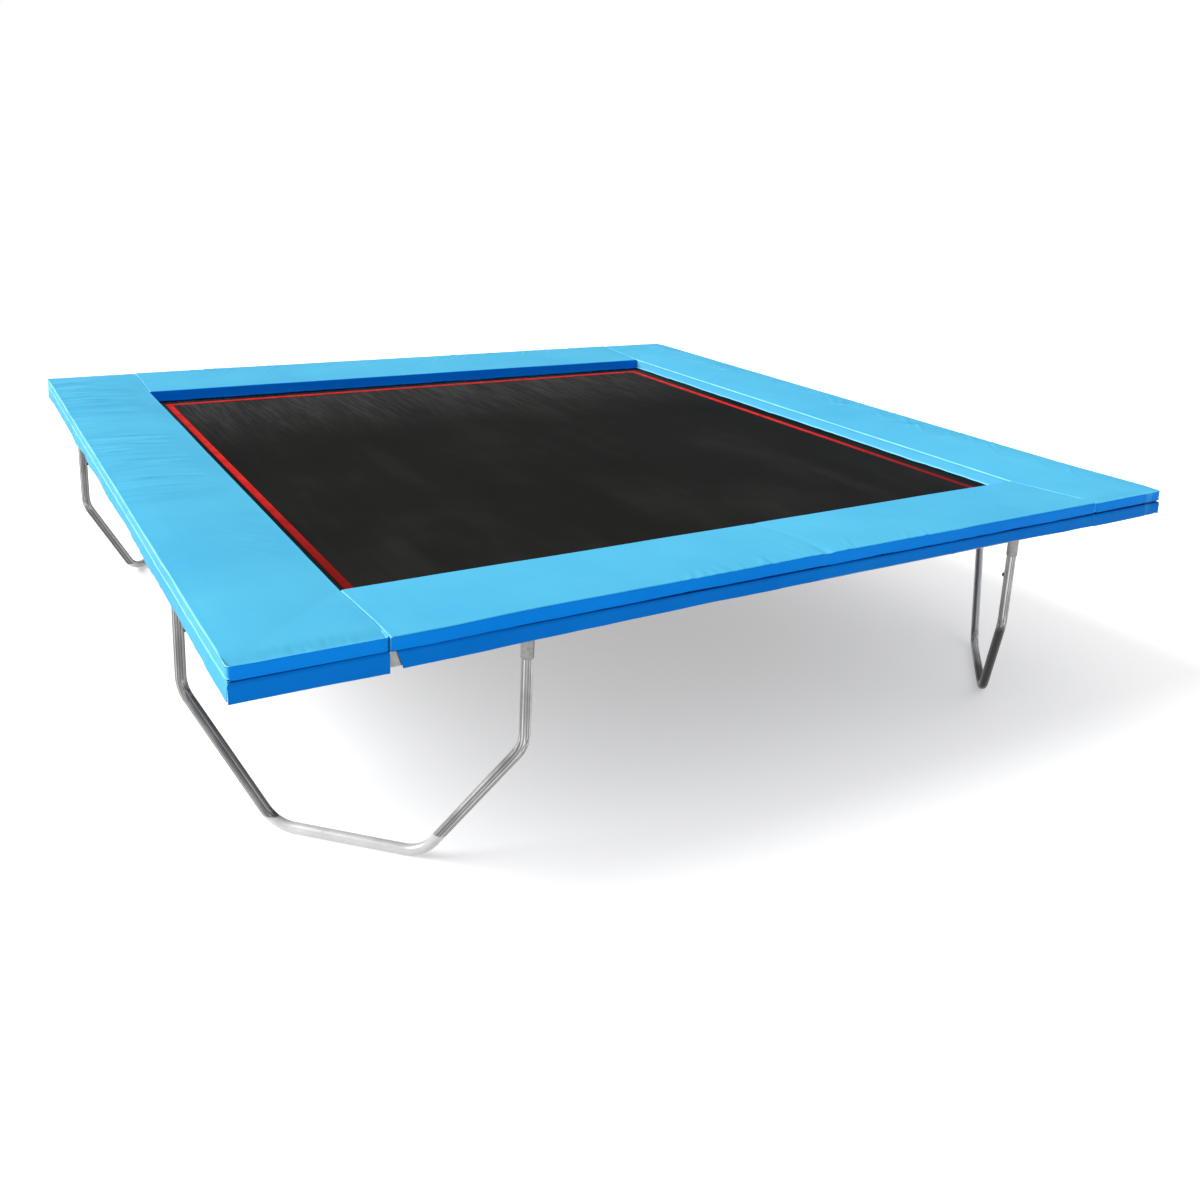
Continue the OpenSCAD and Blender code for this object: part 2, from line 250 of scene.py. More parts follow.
class Look:
    """A Principled material with its object coordinates at hand."""

    def __init__(self, name, roughness=0.5, metallic=0.0, specular=0.5, **sockets):
        self.mat = bpy.data.materials.new(name)
        self.mat.use_nodes = True
        self.tree = self.mat.node_tree
        self.shader = self.tree.nodes["Principled BSDF"]
        self.shader.inputs["Roughness"].default_value = roughness
        self.shader.inputs["Metallic"].default_value = metallic
        self.shader.inputs["Specular IOR Level"].default_value = specular
        for key, value in sockets.items():
            self.shader.inputs[key.replace("_", " ")].default_value = value
        self.coords = self.tree.nodes.new("ShaderNodeTexCoord").outputs["Object"]
        self.height = None

    def put(self, socket, value):
        """Links a socket to another node's output, or sets it."""
        if hasattr(value, "links"):
            self.tree.links.new(value, socket)
        else:
            socket.default_value = value

    def node(self, kind, inputs=(), **settings):
        n = self.tree.nodes.new(kind)
        for key, value in settings.items():
            setattr(n, key, value)
        for key, value in dict(inputs).items():
            self.put(n.inputs[key], value)
        return n

    def math(self, operation, a, b=None):
        n = self.node("ShaderNodeMath", operation=operation)
        for socket, value in zip(n.inputs, (a, b)):
            if value is not None:
                self.put(socket, value)
        return n.outputs[0]

    def times(self, a, b):
        return self.math("MULTIPLY", a, b)

    def axes(self, vector):
        """The x, y and z of a vector."""
        return tuple(self.node("ShaderNodeSeparateXYZ", {"Vector": vector}).outputs)

    def normal_axes(self):
        """The x, y and z of the way that the surface looks."""
        return self.axes(self.node("ShaderNodeNewGeometry").outputs["Normal"])

    def mapped(self, vector, **how):
        return self.node("ShaderNodeMapping", {"Vector": vector, **how}).outputs[0]

    def noise(self, scale, detail=3.0, roughness=0.5, stretch=(1, 1, 1)):
        where = self.coords if stretch == (1, 1, 1) else self.mapped(self.coords, Scale=stretch)
        n = self.node("ShaderNodeTexNoise",
                      {"Vector": where, "Scale": scale, "Detail": detail, "Roughness": roughness})
        return n.outputs["Fac"]

    def ramp(self, value, stops):
        n = self.node("ShaderNodeValToRGB", {"Fac": value})
        set_stops(n.color_ramp, stops)
        return n.outputs["Color"]

    def shades(self, value, low, high):
        """From one colour to another as a noise goes through its range."""
        return self.ramp(value, [(NOISE_LOW, low), (NOISE_HIGH, high)])

    def between(self, value, low, high):
        """0 up to low, 1 from high on, and an even turn between."""
        n = self.node("ShaderNodeMapRange", {"Value": value, "From Min": low, "From Max": high},
                      interpolation_type="SMOOTHSTEP")
        return n.outputs[0]

    def mix(self, factor, a, b):
        """Colour a where factor is 0, b where it is 1."""
        n = self.node("ShaderNodeMix", data_type="RGBA")
        self.put(n.inputs[0], factor)
        for socket, value in ((n.inputs[6], a), (n.inputs[7], b)):
            self.put(socket, value if hasattr(value, "links") else (*value, 1))
        return n.outputs[2]

    def color(self, value):
        self.tree.links.new(value, self.shader.inputs["Base Color"])

    def rough(self, value, low, high):
        n = self.node("ShaderNodeMapRange", {"Value": value, "From Min": NOISE_LOW, "From Max": NOISE_HIGH,
                                             "To Min": low, "To Max": high})
        self.tree.links.new(n.outputs[0], self.shader.inputs["Roughness"])

    def bump(self, value, distance, strength=1.0):
        """A bump on top of the ones before it."""
        n = self.node("ShaderNodeBump", {"Height": value, "Distance": distance, "Strength": strength})
        if self.height is not None:
            self.tree.links.new(self.height, n.inputs["Normal"])
        self.height = n.outputs[0]
        self.tree.links.new(self.height, self.shader.inputs["Normal"])

    def weave(self, pitch):
        """Over-and-under yarns, one to each pitch in x and y."""
        x, y, _ = self.axes(self.coords)
        return self.times(*(self.math("SINE", self.times(along, math.pi / pitch)) for along in (x, y)))


# painted shade: the covers' undersides, and the seam along a skirt's top
SHADE_NAVY = (0.0, 0.04, 0.23)
# painted light on the pads' inner faces that look to the left and to the front, lifting them out of their
# shade
LIT_INNER_LEFT, LIT_INNER_FRONT = (0.085, 0.42, 0.66), (0.001, 0.21, 0.98)
# painted shade in the creases' valleys and painted highlight on their crests
CREASE_SHADE, CREASE_HIGHLIGHT = (0.036, 0.235, 0.42), (0.085, 0.40, 0.56)
# how squarely a surface looks a way (a cosine): from not yet to fully
SQUARELY = (0.5, 0.85)


def creased(look, base, x, y):
    """Fine creases across the back two thirds of the left pad, and short slanting ones on the right pad,
    with painted shade in their valleys and painted highlights on their crests.
    """
    across = look.noise(4.2, 2, 0.5, (0.9, 13, 1))
    left_part = look.times(look.between(x, -1.47, -1.56), look.between(y, -0.75, 0.2))
    left_part = look.times(left_part, look.between(look.noise(1.7, 2, 0.5, (1, 1.6, 1)), 0.36, 0.56))
    slant = look.mapped(look.mapped(look.coords, Rotation=(0, 0, 0.9)), Scale=(1.4, 12, 1))
    short = look.node("ShaderNodeTexNoise", {"Vector": slant, "Scale": 3.6, "Detail": 2.0}).outputs["Fac"]
    right_part = look.times(look.between(x, 1.62, 1.7), look.between(look.noise(2.3, 2, 0.5), 0.44, 0.6))
    for creases_at, part in ((across, left_part), (short, right_part)):
        valley_shade = look.times(look.between(creases_at, 0.54, 0.64), part)
        crest_highlight = look.times(look.between(creases_at, 0.47, 0.38), part)
        # painted shade in the valleys and painted highlight on the crests
        base = look.mix(look.times(valley_shade, 0.55), base, CREASE_SHADE)
        base = look.mix(look.times(crest_highlight, 0.5), base, CREASE_HIGHLIGHT)
        look.bump(look.times(creases_at, part), 4 * MM, 0.8)
    return base


def vinyl(name, top, side, glint, roughness=0.42, seam_shade_above=None):
    """Coated cloth with painted light: pale where it looks up or to the left, deep in painted shade where it
    looks another way.
    """
    look = Look(name, roughness=roughness, specular=0.02)
    normal_x, normal_y, normal_z = look.normal_axes()
    along_y = look.math("ABSOLUTE", normal_y)
    along_x = look.math("MAXIMUM", normal_x, 0.0)
    corner = look.times(look.math("ADD", along_x, along_y), 0.72)
    sideways = look.math("MAXIMUM", look.math("MAXIMUM", along_y, along_x), corner)
    tone = look.noise(1.6, 4, 0.55)
    # painted light and shade by the way the surface looks: pale above and to the left, deep at the sides,
    # and navy where it looks down
    base = look.mix(look.between(sideways, *SQUARELY), look.shades(tone, *top), look.shades(tone, *side))
    base = look.mix(look.between(look.times(normal_z, -1.0), 0.1, 0.5), base, SHADE_NAVY)
    x, y, z = look.axes(look.coords)
    # painted light on the right and back pads' inner faces, which lie in shade
    for normal, place, shade_lift in ((normal_x, x, LIT_INNER_LEFT), (normal_y, y, LIT_INNER_FRONT)):
        faces_back = look.between(look.times(normal, -1.0), *SQUARELY)
        base = look.mix(look.times(look.between(place, 1.25, 1.4), faces_back), base, shade_lift)
    # painted shade in the seam gap along the top of a skirt
    if seam_shade_above is not None:
        base = look.mix(look.between(z, seam_shade_above, seam_shade_above + 1.5 * MM), base, SHADE_NAVY)
    base = creased(look, base, x, y)
    # a painted highlight: a pale, patchy line along the rims that look to the left
    rim = look.between(normal_z, 0.25, 0.5)
    rim = look.times(rim, look.math("SUBTRACT", 1.0, look.between(normal_z, 0.7, 0.93)))
    patchy = look.between(look.noise(11, 4, 0.6), 0.35, 0.62)
    rim = look.times(rim, look.math("ADD", 0.5, look.times(patchy, 0.45)))
    rim = look.times(rim, look.between(look.times(normal_x, -1.0), 0.15, 0.4))
    look.color(look.mix(rim, base, glint))
    look.rough(look.noise(9, 4, 0.6), roughness - 0.05, roughness + 0.07)
    look.bump(look.noise(7, 3, 0.5), 3.5 * MM, 0.35)
    look.bump(look.noise(900, 2, 0.5), 0.12 * MM, 0.5)
    return look.mat


def webbing(name, low, high, shaded_front=False):
    """Woven strap. One with painted shade is deep at the front and pale at the back."""
    roughness = 0.75
    look = Look(name, roughness=roughness, specular=0.04 if shaded_front else 0.12)
    tone = look.shades(look.noise(14, 4, 0.6), low, high)
    if shaded_front:
        # painted shade: darker towards the front
        deep = [0.42 * level for level in low]
        tone = look.mix(look.between(look.axes(look.coords)[1], -1.25, 0.1), deep, tone)
    look.color(tone)
    look.rough(look.noise(60, 3, 0.6), roughness - 0.08, roughness + 0.1)
    look.bump(look.weave(1.6 * MM), 0.3 * MM, 0.6)
    return look.mat


def galvanised(name, low, high):
    """Dipped zinc with its spangle."""
    roughness = 0.3
    look = Look(name, roughness=roughness, metallic=0.9)
    cells = look.node("ShaderNodeTexVoronoi", {"Vector": look.coords, "Scale": 70.0, "Randomness": 1.0})
    spangle = look.times(cells.outputs["Distance"], 0.3)
    clouds = look.times(look.noise(4, 4, 0.6), 0.8)
    look.color(look.ramp(look.math("ADD", spangle, clouds), [(NOISE_LOW, low), (0.75, high)]))
    look.rough(look.noise(14, 4, 0.6), roughness - 0.06, roughness + 0.08)
    look.bump(look.noise(260, 3, 0.6), 0.08 * MM, 0.3)
    return look.mat


# painted reflections round a leg's tube, by the streaks' noise, with a painted highlight among them: plain,
# darker in painted shade out at the left, and brighter in painted light
LEG_REFLECTIONS = [(0.36, (0.07, 0.07, 0.069)), (0.44, (0.18, 0.18, 0.177)), (0.52, (0.30, 0.30, 0.296)),
            (0.57, (0.78, 0.78, 0.775)), (0.62, (0.25, 0.25, 0.246)), (0.70, (0.09, 0.09, 0.089))]
LEG_REFLECTIONS_SHADED = [(0.38, (0.07, 0.07, 0.069)), (0.50, (0.17, 0.17, 0.168)), (0.56, (0.46, 0.46, 0.455)),
              (0.62, (0.15, 0.15, 0.148))]
LEG_REFLECTIONS_LIT = [(0.42, (0.40, 0.40, 0.395)), (0.52, (0.62, 0.62, 0.61)), (0.57, (0.95, 0.95, 0.94)),
           (0.62, (0.50, 0.50, 0.49))]
LEG_BASE = ((0.46, 0.46, 0.456), (0.60, 0.60, 0.595))
# painted shade: along a tube's lower and right-hand edges, and on a right leg's low slant
LEG_EDGE_SHADE, LEG_SHADE = (0.02, 0.02, 0.02), (0.012, 0.012, 0.012)


def leg_steel(name, bright_base=False):
    """Drawn tube with painted reflections, streaked lengthwise: each direction round the tube has its own
    tone.
    """
    look = Look(name, roughness=0.3, metallic=0.5)
    normal = look.node("ShaderNodeNewGeometry").outputs["Normal"]
    normal_x, _, normal_z = look.axes(normal)
    x, _, up = look.axes(look.coords)
    # painted reflections: streaks by the way the surface looks
    streaks = look.node("ShaderNodeTexNoise",
                        {"Vector": normal, "Scale": 3.1, "Detail": 3.0, "Roughness": 0.6})
    clouds = look.noise(6, 4, 0.6)
    tone = look.math("ADD", look.times(streaks.outputs["Fac"], 0.8), look.times(clouds, 0.2))
    # painted shade on the legs out at the left
    steel = look.mix(look.between(x, -1.2, -1.7), look.ramp(tone, LEG_REFLECTIONS), look.ramp(tone, LEG_REFLECTIONS_SHADED))
    # painted shade, dark along the lower and the right-hand edges
    edge = look.math("MAXIMUM", look.between(look.times(normal_z, -1.0), 0.3, 0.62),
                     look.between(normal_x, 0.74, 0.9))
    steel = look.mix(look.times(edge, 0.9), steel, LEG_EDGE_SHADE)
    if bright_base:
        lower = look.math("SUBTRACT", up, look.times(look.between(x, -1.55, -1.3), 0.045))
        above = look.between(lower, 0.044, 0.05)
        steel = look.mix(above, look.shades(clouds, *LEG_BASE), steel)
        metal = look.node("ShaderNodeMapRange", {"Value": above, "To Min": 0.1, "To Max": 0.5})
        look.tree.links.new(metal.outputs[0], look.shader.inputs["Metallic"])
    else:
        # painted light on the right legs' uprights out at the right, and painted shade on their low slants
        steel = look.mix(look.times(look.between(x, 1.42, 1.5), 0.75), steel, look.ramp(tone, LEG_REFLECTIONS_LIT))
        low_slant = look.times(look.between(x, 1.42, 1.34), look.between(up, 0.44, 0.38))
        steel = look.mix(look.times(low_slant, 0.92), steel, LEG_SHADE)
    look.color(steel)
    look.rough(clouds, 0.26, 0.40)
    look.bump(look.noise(260, 3, 0.6), 0.06 * MM, 0.3)
    return look.mat


def plain_metal(name, low, high, roughness, metallic):
    look = Look(name, roughness=roughness, metallic=metallic)
    look.color(look.shades(look.noise(40, 4, 0.6), low, high))
    look.rough(look.noise(90, 4, 0.6), roughness - 0.08, roughness + 0.12)
    look.bump(look.noise(500, 3, 0.5), 0.1 * MM, 0.4)
    return look.mat


BED_TONES = [(0.32, (0.0050, 0.0050, 0.0046)), (0.5, (0.0078, 0.0078, 0.0072)),
             (0.7, (0.0150, 0.0150, 0.0142))]
BED_SHEEN = (0.036, 0.036, 0.035)
BED_YARN = 2.2 * MM
FOLD_PITCH = 0.47


def bed_weave(name):
    """Black weave with a painted sheen in fine streaks towards the back, and faint folds where it lay
    packed.
    """
    look = Look(name, roughness=0.8, specular=0.02)
    patches = look.noise(1.1, 5, 0.6)
    streaks = look.noise(6.0, 5, 0.65, (1.0, 0.12, 1.0))
    tone = look.math("ADD", look.times(patches, 0.55), look.times(streaks, 0.45))
    x, y, _ = look.axes(look.coords)
    # painted sheen towards the back, in fine streaks
    fine = look.between(look.noise(70, 3, 0.6, (1.0, 0.06, 1.0)), 0.38, 0.66)
    patchy = look.math("ADD", 0.6, look.times(look.between(streaks, 0.3, 0.7), 0.4))
    near_back = look.times(look.between(y, 0.3, 1.45), patchy)
    sheen = look.times(near_back, look.math("ADD", 0.35, look.times(fine, 0.65)))
    look.color(look.mix(sheen, look.ramp(tone, BED_TONES), BED_SHEEN))
    look.rough(streaks, 0.68, 0.85)
    look.bump(look.weave(BED_YARN), 0.4 * MM, 0.5)
    wobble = look.times(look.noise(1.5, 2, 0.5), 0.05)
    fold = look.math("SINE", look.times(look.math("ADD", x, wobble), math.pi / FOLD_PITCH))
    look.bump(look.math("POWER", look.math("ABSOLUTE", fold), 60.0), 0.8 * MM, 0.35)
    return look.mat


# pale tops in painted light, deep sides in painted shade, then the painted highlight along the rims
VINYL = vinyl("pad_vinyl", ((0.046, 0.29, 0.468), (0.062, 0.338, 0.508)),
              ((0.0, 0.165, 0.60), (0.002, 0.20, 0.67)), (0.24, 0.56, 0.64))
# the skirt's vinyl, with painted shade in the seam gap along its top
SKIRT = vinyl("skirt_vinyl", ((0.036, 0.265, 0.45), (0.05, 0.31, 0.49)),
              ((0.0, 0.122, 0.47), (0.001, 0.152, 0.53)), (0.1, 0.40, 0.58), 0.46,
              seam_shade_above=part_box("skirt_front")[1].z - 2 * MM)
LOOKS = {
    "bed_weave": bed_weave("bed_weave"),
    "bed_webbing": webbing("bed_webbing", (0.012, 0.012, 0.011), (0.028, 0.028, 0.026)),
    "band_webbing": webbing("band_webbing", (0.36, 0.006, 0.005), (0.56, 0.020, 0.016), shaded_front=True),
    "strap_webbing": webbing("strap_webbing", (0.012, 0.012, 0.013), (0.03, 0.03, 0.032)),
    "galvanised_steel": galvanised("galvanised_steel", (0.17, 0.17, 0.167), (0.30, 0.30, 0.294)),
    "zinc_steel": plain_metal("zinc_steel", (0.45, 0.45, 0.44), (0.62, 0.62, 0.61), 0.3, 0.9),
    "dark_steel": plain_metal("dark_steel", (0.012, 0.012, 0.012), (0.03, 0.03, 0.03), 0.5, 0.2),
    "pad_vinyl": VINYL,
    "pad_foam": VINYL,
    "skirt_vinyl": SKIRT,
}
LEG_LEFT = leg_steel("leg_steel_left", bright_base=True)
LEG_RIGHT = leg_steel("leg_steel")

slot_of = {part["node"]: part["material_slot"] for part in frame["record"]["subparts"]}
LEGS = [f"leg_{corner}" for corner in CORNERS]
for name, obj in nodes.items():
    look = LOOKS[slot_of[name]]
    if name in LEGS:
        look = LEG_LEFT if name.endswith("left") else LEG_RIGHT
    for material_slot in obj.material_slots:
        material_slot.material = look
    if not obj.material_slots:
        obj.data.materials.append(look)

# ---------------------------------------------------------------- sizes, from the frame
bed_low, bed_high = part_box("jumping_bed")
BED_HALF = bed_high.x
BED_TOP, BED_UNDER = bed_high.z, bed_low.z
band_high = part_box("bed_band")[1]
BAND_OUT, BAND_TOP = band_high.x, band_high.z
BAND_WIDTH = 28 * MM
HEM_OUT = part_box("bed_hem")[1].x
HEM_WIDTH, HEM_THICK = 60 * MM, 0.9 * MM
front_low, front_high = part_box("pad_cover_front")
left_low, left_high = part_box("pad_cover_left")
PAD_TOP = front_high.z
PAD_THICK, PAD_DEEPER = 44 * MM, 11 * MM
rail_low, rail_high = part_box("rail_front_left")
RAIL_INNER = -rail_high.y
RAIL_MIDDLE = -(rail_low.y + rail_high.y) / 2
PADS_WIDTH = -2 * left_low.x


# ---------------------------------------------------------------- pads
TOP_ROUND, LOW_ROUND = 5 * MM, 3.5 * MM
END_CORNER, SIDE_CORNER = 6 * MM, 17 * MM
STEP = 9 * MM
# where the sewn seams lie, up from the lower edge and down from the upper one
LOW_SEAM, HIGH_SEAM = np.array([1.4, 2.8, 4.2, 5.6, 7.5]) * MM, np.array([7.0, 5.0, 3.5, 2.0, 1.0]) * MM
# how far an end pad's end bulges into the slack before the side pad
PRESSED = 2.2 * MM


def pad_shell(length, width, thick, corner):
    """A box with rounded edges in (along, inwards, up): points, quads and the grid of its top's points."""
    def places(total, step):
        n = max(4, round((total - 4 * TOP_ROUND) / step))
        inner = np.linspace(2 * TOP_ROUND, total - 2 * TOP_ROUND, n + 1) / total
        ends = np.array([0, 0.12, 0.3, 0.6]) * 2 * TOP_ROUND / total
        return np.concatenate([ends, inner, 1 - ends[::-1]])

    fa, fb = places(length, STEP), places(width, STEP * 1.2)

    def plan(i, j, inset):
        a = inset + (length - 2 * inset) * fa[i]
        b = inset + (width - 2 * inset) * fb[j]
        r = max(corner - inset, 3 * MM)
        qa = np.clip(a, inset + r, length - inset - r)
        qb = np.clip(b, inset + r, width - inset - r)
        da, db = a - qa, b - qb
        both = (np.abs(da) > 0) & (np.abs(db) > 0)
        hyp = np.maximum(np.hypot(da, db), 1e-12)
        k = np.where(both, np.maximum(np.abs(da), np.abs(db)) / hyp, 1)
        return qa + da * k, qb + db * k

    t = np.linspace(0, math.pi / 2, 5)
    rows = [(LOW_ROUND - LOW_ROUND * math.sin(x), LOW_ROUND - LOW_ROUND * math.cos(x)) for x in t]
    low_seam = LOW_SEAM + LOW_ROUND
    high_seam = thick - TOP_ROUND - HIGH_SEAM
    middle = np.linspace(low_seam[-1], high_seam[0], 4)[1:-1]
    rows += [(0.0, z) for z in np.concatenate([low_seam, middle, high_seam])]
    rows += [(TOP_ROUND - TOP_ROUND * math.cos(x), thick - TOP_ROUND + TOP_ROUND * math.sin(x)) for x in t]
    na, nb, nk = len(fa), len(fb), len(rows)
    # once round the rim
    rim = ([(i, 0) for i in range(na)] + [(na - 1, j) for j in range(1, nb)]
           + [(i, nb - 1) for i in range(na - 2, -1, -1)] + [(0, j) for j in range(nb - 2, 0, -1)])
    ri, rj = np.array(rim).T
    walls = []
    for inset, z in rows:
        a, b = plan(ri, rj, inset)
        walls.append(np.stack([a, b, np.full(len(a), z)], 1))
    walls = np.array(walls)
    n_rim = len(rim)
    wall_ids = np.arange(nk * n_rim).reshape(nk, n_rim)
    wrap = np.concatenate([wall_ids, wall_ids[:, :1]], 1)
    quads = [grid_quads(wrap, True)]
    blocks = [walls.reshape(-1, 3)]
    count = nk * n_rim
    for row, z, flip in ((nk - 1, thick, False), (0, 0.0, True)):
        ids = np.full((na, nb), -1)
        ids[ri, rj] = wall_ids[row]
        ii, jj = np.meshgrid(np.arange(1, na - 1), np.arange(1, nb - 1), indexing="ij")
        a, b = plan(ii.ravel(), jj.ravel(), rows[row][0])
        blocks.append(np.stack([a, b, np.full(len(a), z)], 1))
        ids[1:-1, 1:-1] = count + np.arange(len(a)).reshape(ii.shape)
        count += len(a)
        quads.append(grid_quads(ids, flip))
        if not flip:
            top_ids = ids
    return np.concatenate(blocks), np.concatenate(quads), top_ids


def creases(s, u, rows):
    """Height of many short creases: each (place along, place across, half length, width, height, slant)."""
    out = np.zeros_like(s)
    for at, across, reach, width, height, slant in rows:
        d = s - at - slant * (u - across)
        out += height * (bell(d, width) - 0.55 * bell(d - 1.7 * width, width)) * bell(u - across, reach)
    return out


def random_creases(seed, count, along, across, reach, width, height, slant):
    """Creases drawn between the (lowest, highest) of each measure."""
    rng = np.random.default_rng(seed)
    return list(zip(*(rng.uniform(*pair, count) for pair in (along, across, reach, width, height, slant))))


FRAMES = 16
MOST_MOVE = 6 * MM


def taken_up(grid, rest, free, pressure):
    """A cover's grid of points once the spare length of its cut, rest, has gone into creases."""
    n, m = grid.shape[:2]
    mesh = bpy.data.meshes.new("cover")
    mesh.from_pydata(grid.reshape(-1, 3).tolist(), [], grid_quads(np.arange(n * m).reshape(n, m)).tolist())
    mesh.update()
    obj = bpy.data.objects.new("cover", mesh)
    scene = bpy.context.scene
    scene.collection.objects.link(obj)
    obj.shape_key_add(name="start")
    cut = obj.shape_key_add(name="cut")
    cut.data.foreach_set("co", rest.astype(np.float32).ravel())
    group = obj.vertex_groups.new(name="held")
    held = np.round(1 - free.ravel(), 2)
    for weight in np.unique(held[held > 0]):
        group.add(np.nonzero(held == weight)[0].tolist(), float(weight), "REPLACE")
    cloth = obj.modifiers.new("cloth", "CLOTH")
    cloth.point_cache.frame_start, cloth.point_cache.frame_end = 1, FRAMES
    cloth.collision_settings.use_collision = False
    c = cloth.settings
    c.quality, c.mass, c.air_damping = 4, 0.2, 3
    c.tension_stiffness = c.compression_stiffness = 20
    c.shear_stiffness, c.bending_stiffness = 10, 0.4
    c.tension_damping = c.compression_damping = c.shear_damping = 10
    c.use_pressure, c.uniform_pressure_force = True, pressure
    c.vertex_group_mass, c.pin_stiffness = "held", 1
    c.rest_shape_key = cut
    c.effector_weights.gravity = 0
    for f in range(1, FRAMES + 1):
        scene.frame_set(f)
    done = np.empty(n * m * 3, np.float32)
    obj.evaluated_get(bpy.context.evaluated_depsgraph_get()).data.vertices.foreach_get("co", done)
    bpy.data.objects.remove(obj)
    bpy.data.meshes.remove(mesh)
    scene.frame_set(1)
    move = done.reshape(n, m, 3).astype(float) - grid
    far = np.linalg.norm(move, axis=-1, keepdims=True)
    return grid + move * np.minimum(1, MOST_MOVE / np.maximum(far, 1e-9))


def spare(side, s, u, width):
    """How much further along, in metres, each point of a cover was cut: (along, across)."""
    at = np.linspace(-2, 2, 2001)
    # spare length a metre, along each side
    more = [
        0.0015 + 0.006 * bell(at - 0.1, 0.35),
        0.004 + 0.006 * smooth(at, -1.7, -1.2) * smooth(-at, -1.0, 0.2),
        0.005 + 0.006 * smooth(at, -1.3, -0.9) * smooth(-at, -1.3, -0.9),
        0.0035 + 0.015 * smooth(at, -1.35, -0.8) * smooth(-at, -1.25, -0.75),
    ][side]
    total = np.concatenate([[0], np.cumsum(more[1:] * np.diff(at))])
    along = np.interp(s, at, total - np.interp(0, at, total))
    outer = 1 - 0.6 * smooth(u / width, 0.55, 0.95)
    lean = [0.0, 0.03, -0.024, 0.0][side] * bell(u / width, 0.45)
    zone = smooth(np.abs(s), 1.75, 1.5)
    return along * outer + lean * u * zone, 0.0015 * u


def edge_height(x):
    """How much higher than flat the front edge lies, x from -1 to 1 across the pads."""
    return MM * np.interp(x, [-1, -0.87, -0.79, -0.76, -0.68, -0.6, -0.45, 0.0, 0.4, 0.8, 1.0],
                          [2.0, 0.5, 0.0, -2.5, -2.5, 1.0, 3.0, 3.5, 3.5, 3.5, 6.0])


PRESSURES = [0.4, 0.6, 0.6, 0.7]
# each side's short creases: seed, count, and (lowest, highest) place along and across, half length, width,
# height and slant
CREASES = [
    [(36, 16, (-0.7, 0.6), (0.012, 0.04), (0.015, 0.035),
      (7 * MM, 11 * MM), (1.4 * MM, 2.6 * MM), (-0.6, 0.6))],
    [(33, 30, (-1.6, 1.2), (0.02, 0.13), (0.02, 0.05),
      (9 * MM, 15 * MM), (1.8 * MM, 3.6 * MM), (-2.0, -0.9))],
    [(35, 26, (-1.2, 1.2), (0.01, 0.13), (0.02, 0.06),
      (9 * MM, 15 * MM), (1.6 * MM, 3.0 * MM), (0.6, 1.6))],
    [(37, 46, (-1.5, 0.45), (0.06, 0.2), (0.05, 0.13),
      (8 * MM, 13 * MM), (1.0 * MM, 2.2 * MM), (-0.14, 0.10)),
     (38, 9, (0.75, 1.15), (0.27, 0.34), (0.02, 0.05),
      (8 * MM, 11 * MM), (1.5 * MM, 2.6 * MM), (0.5, 1.1))],
]
# puckers where the left pad's top is sewn to its front face: (place across, length)
PUCKERS = [(0.165, 0.05), (0.19, 0.035), (0.215, 0.055), (0.235, 0.04),
           (0.262, 0.05), (0.285, 0.03), (0.31, 0.045)]
PUCKER_HEIGHT, PUCKER_WIDTH, PUCKER_SINK = 4.6 * MM, 5.5 * MM, 0.95 * MM
# where the front pad's two foam halves meet
FOAM_MEET = 0.07
GATHERS = 12


def with_creased_top(verts, top_ids, side, length, width):
    """The cover's points, its top's once the cloth simulation has taken up the spare length."""
    grid = verts[top_ids]
    s, u = grid[..., 0] - length / 2, grid[..., 1]
    free = smooth(np.minimum(np.minimum(u, width - u), length / 2 - np.abs(s)), 5 * MM, 30 * MM)
    along, across = spare(side, s, u, width)
    rest = grid + np.stack([along, across, 0 * s], -1)
    start = grid.copy()
    seed = 10 * side
    start[..., 2] += free * 0.4 * MM * (noise(s * 40, u * 4, seed + 7) + noise(s * 90, u * 8, seed + 8))
    verts[top_ids] = taken_up(start, rest, free, PRESSURES[side])
    return verts


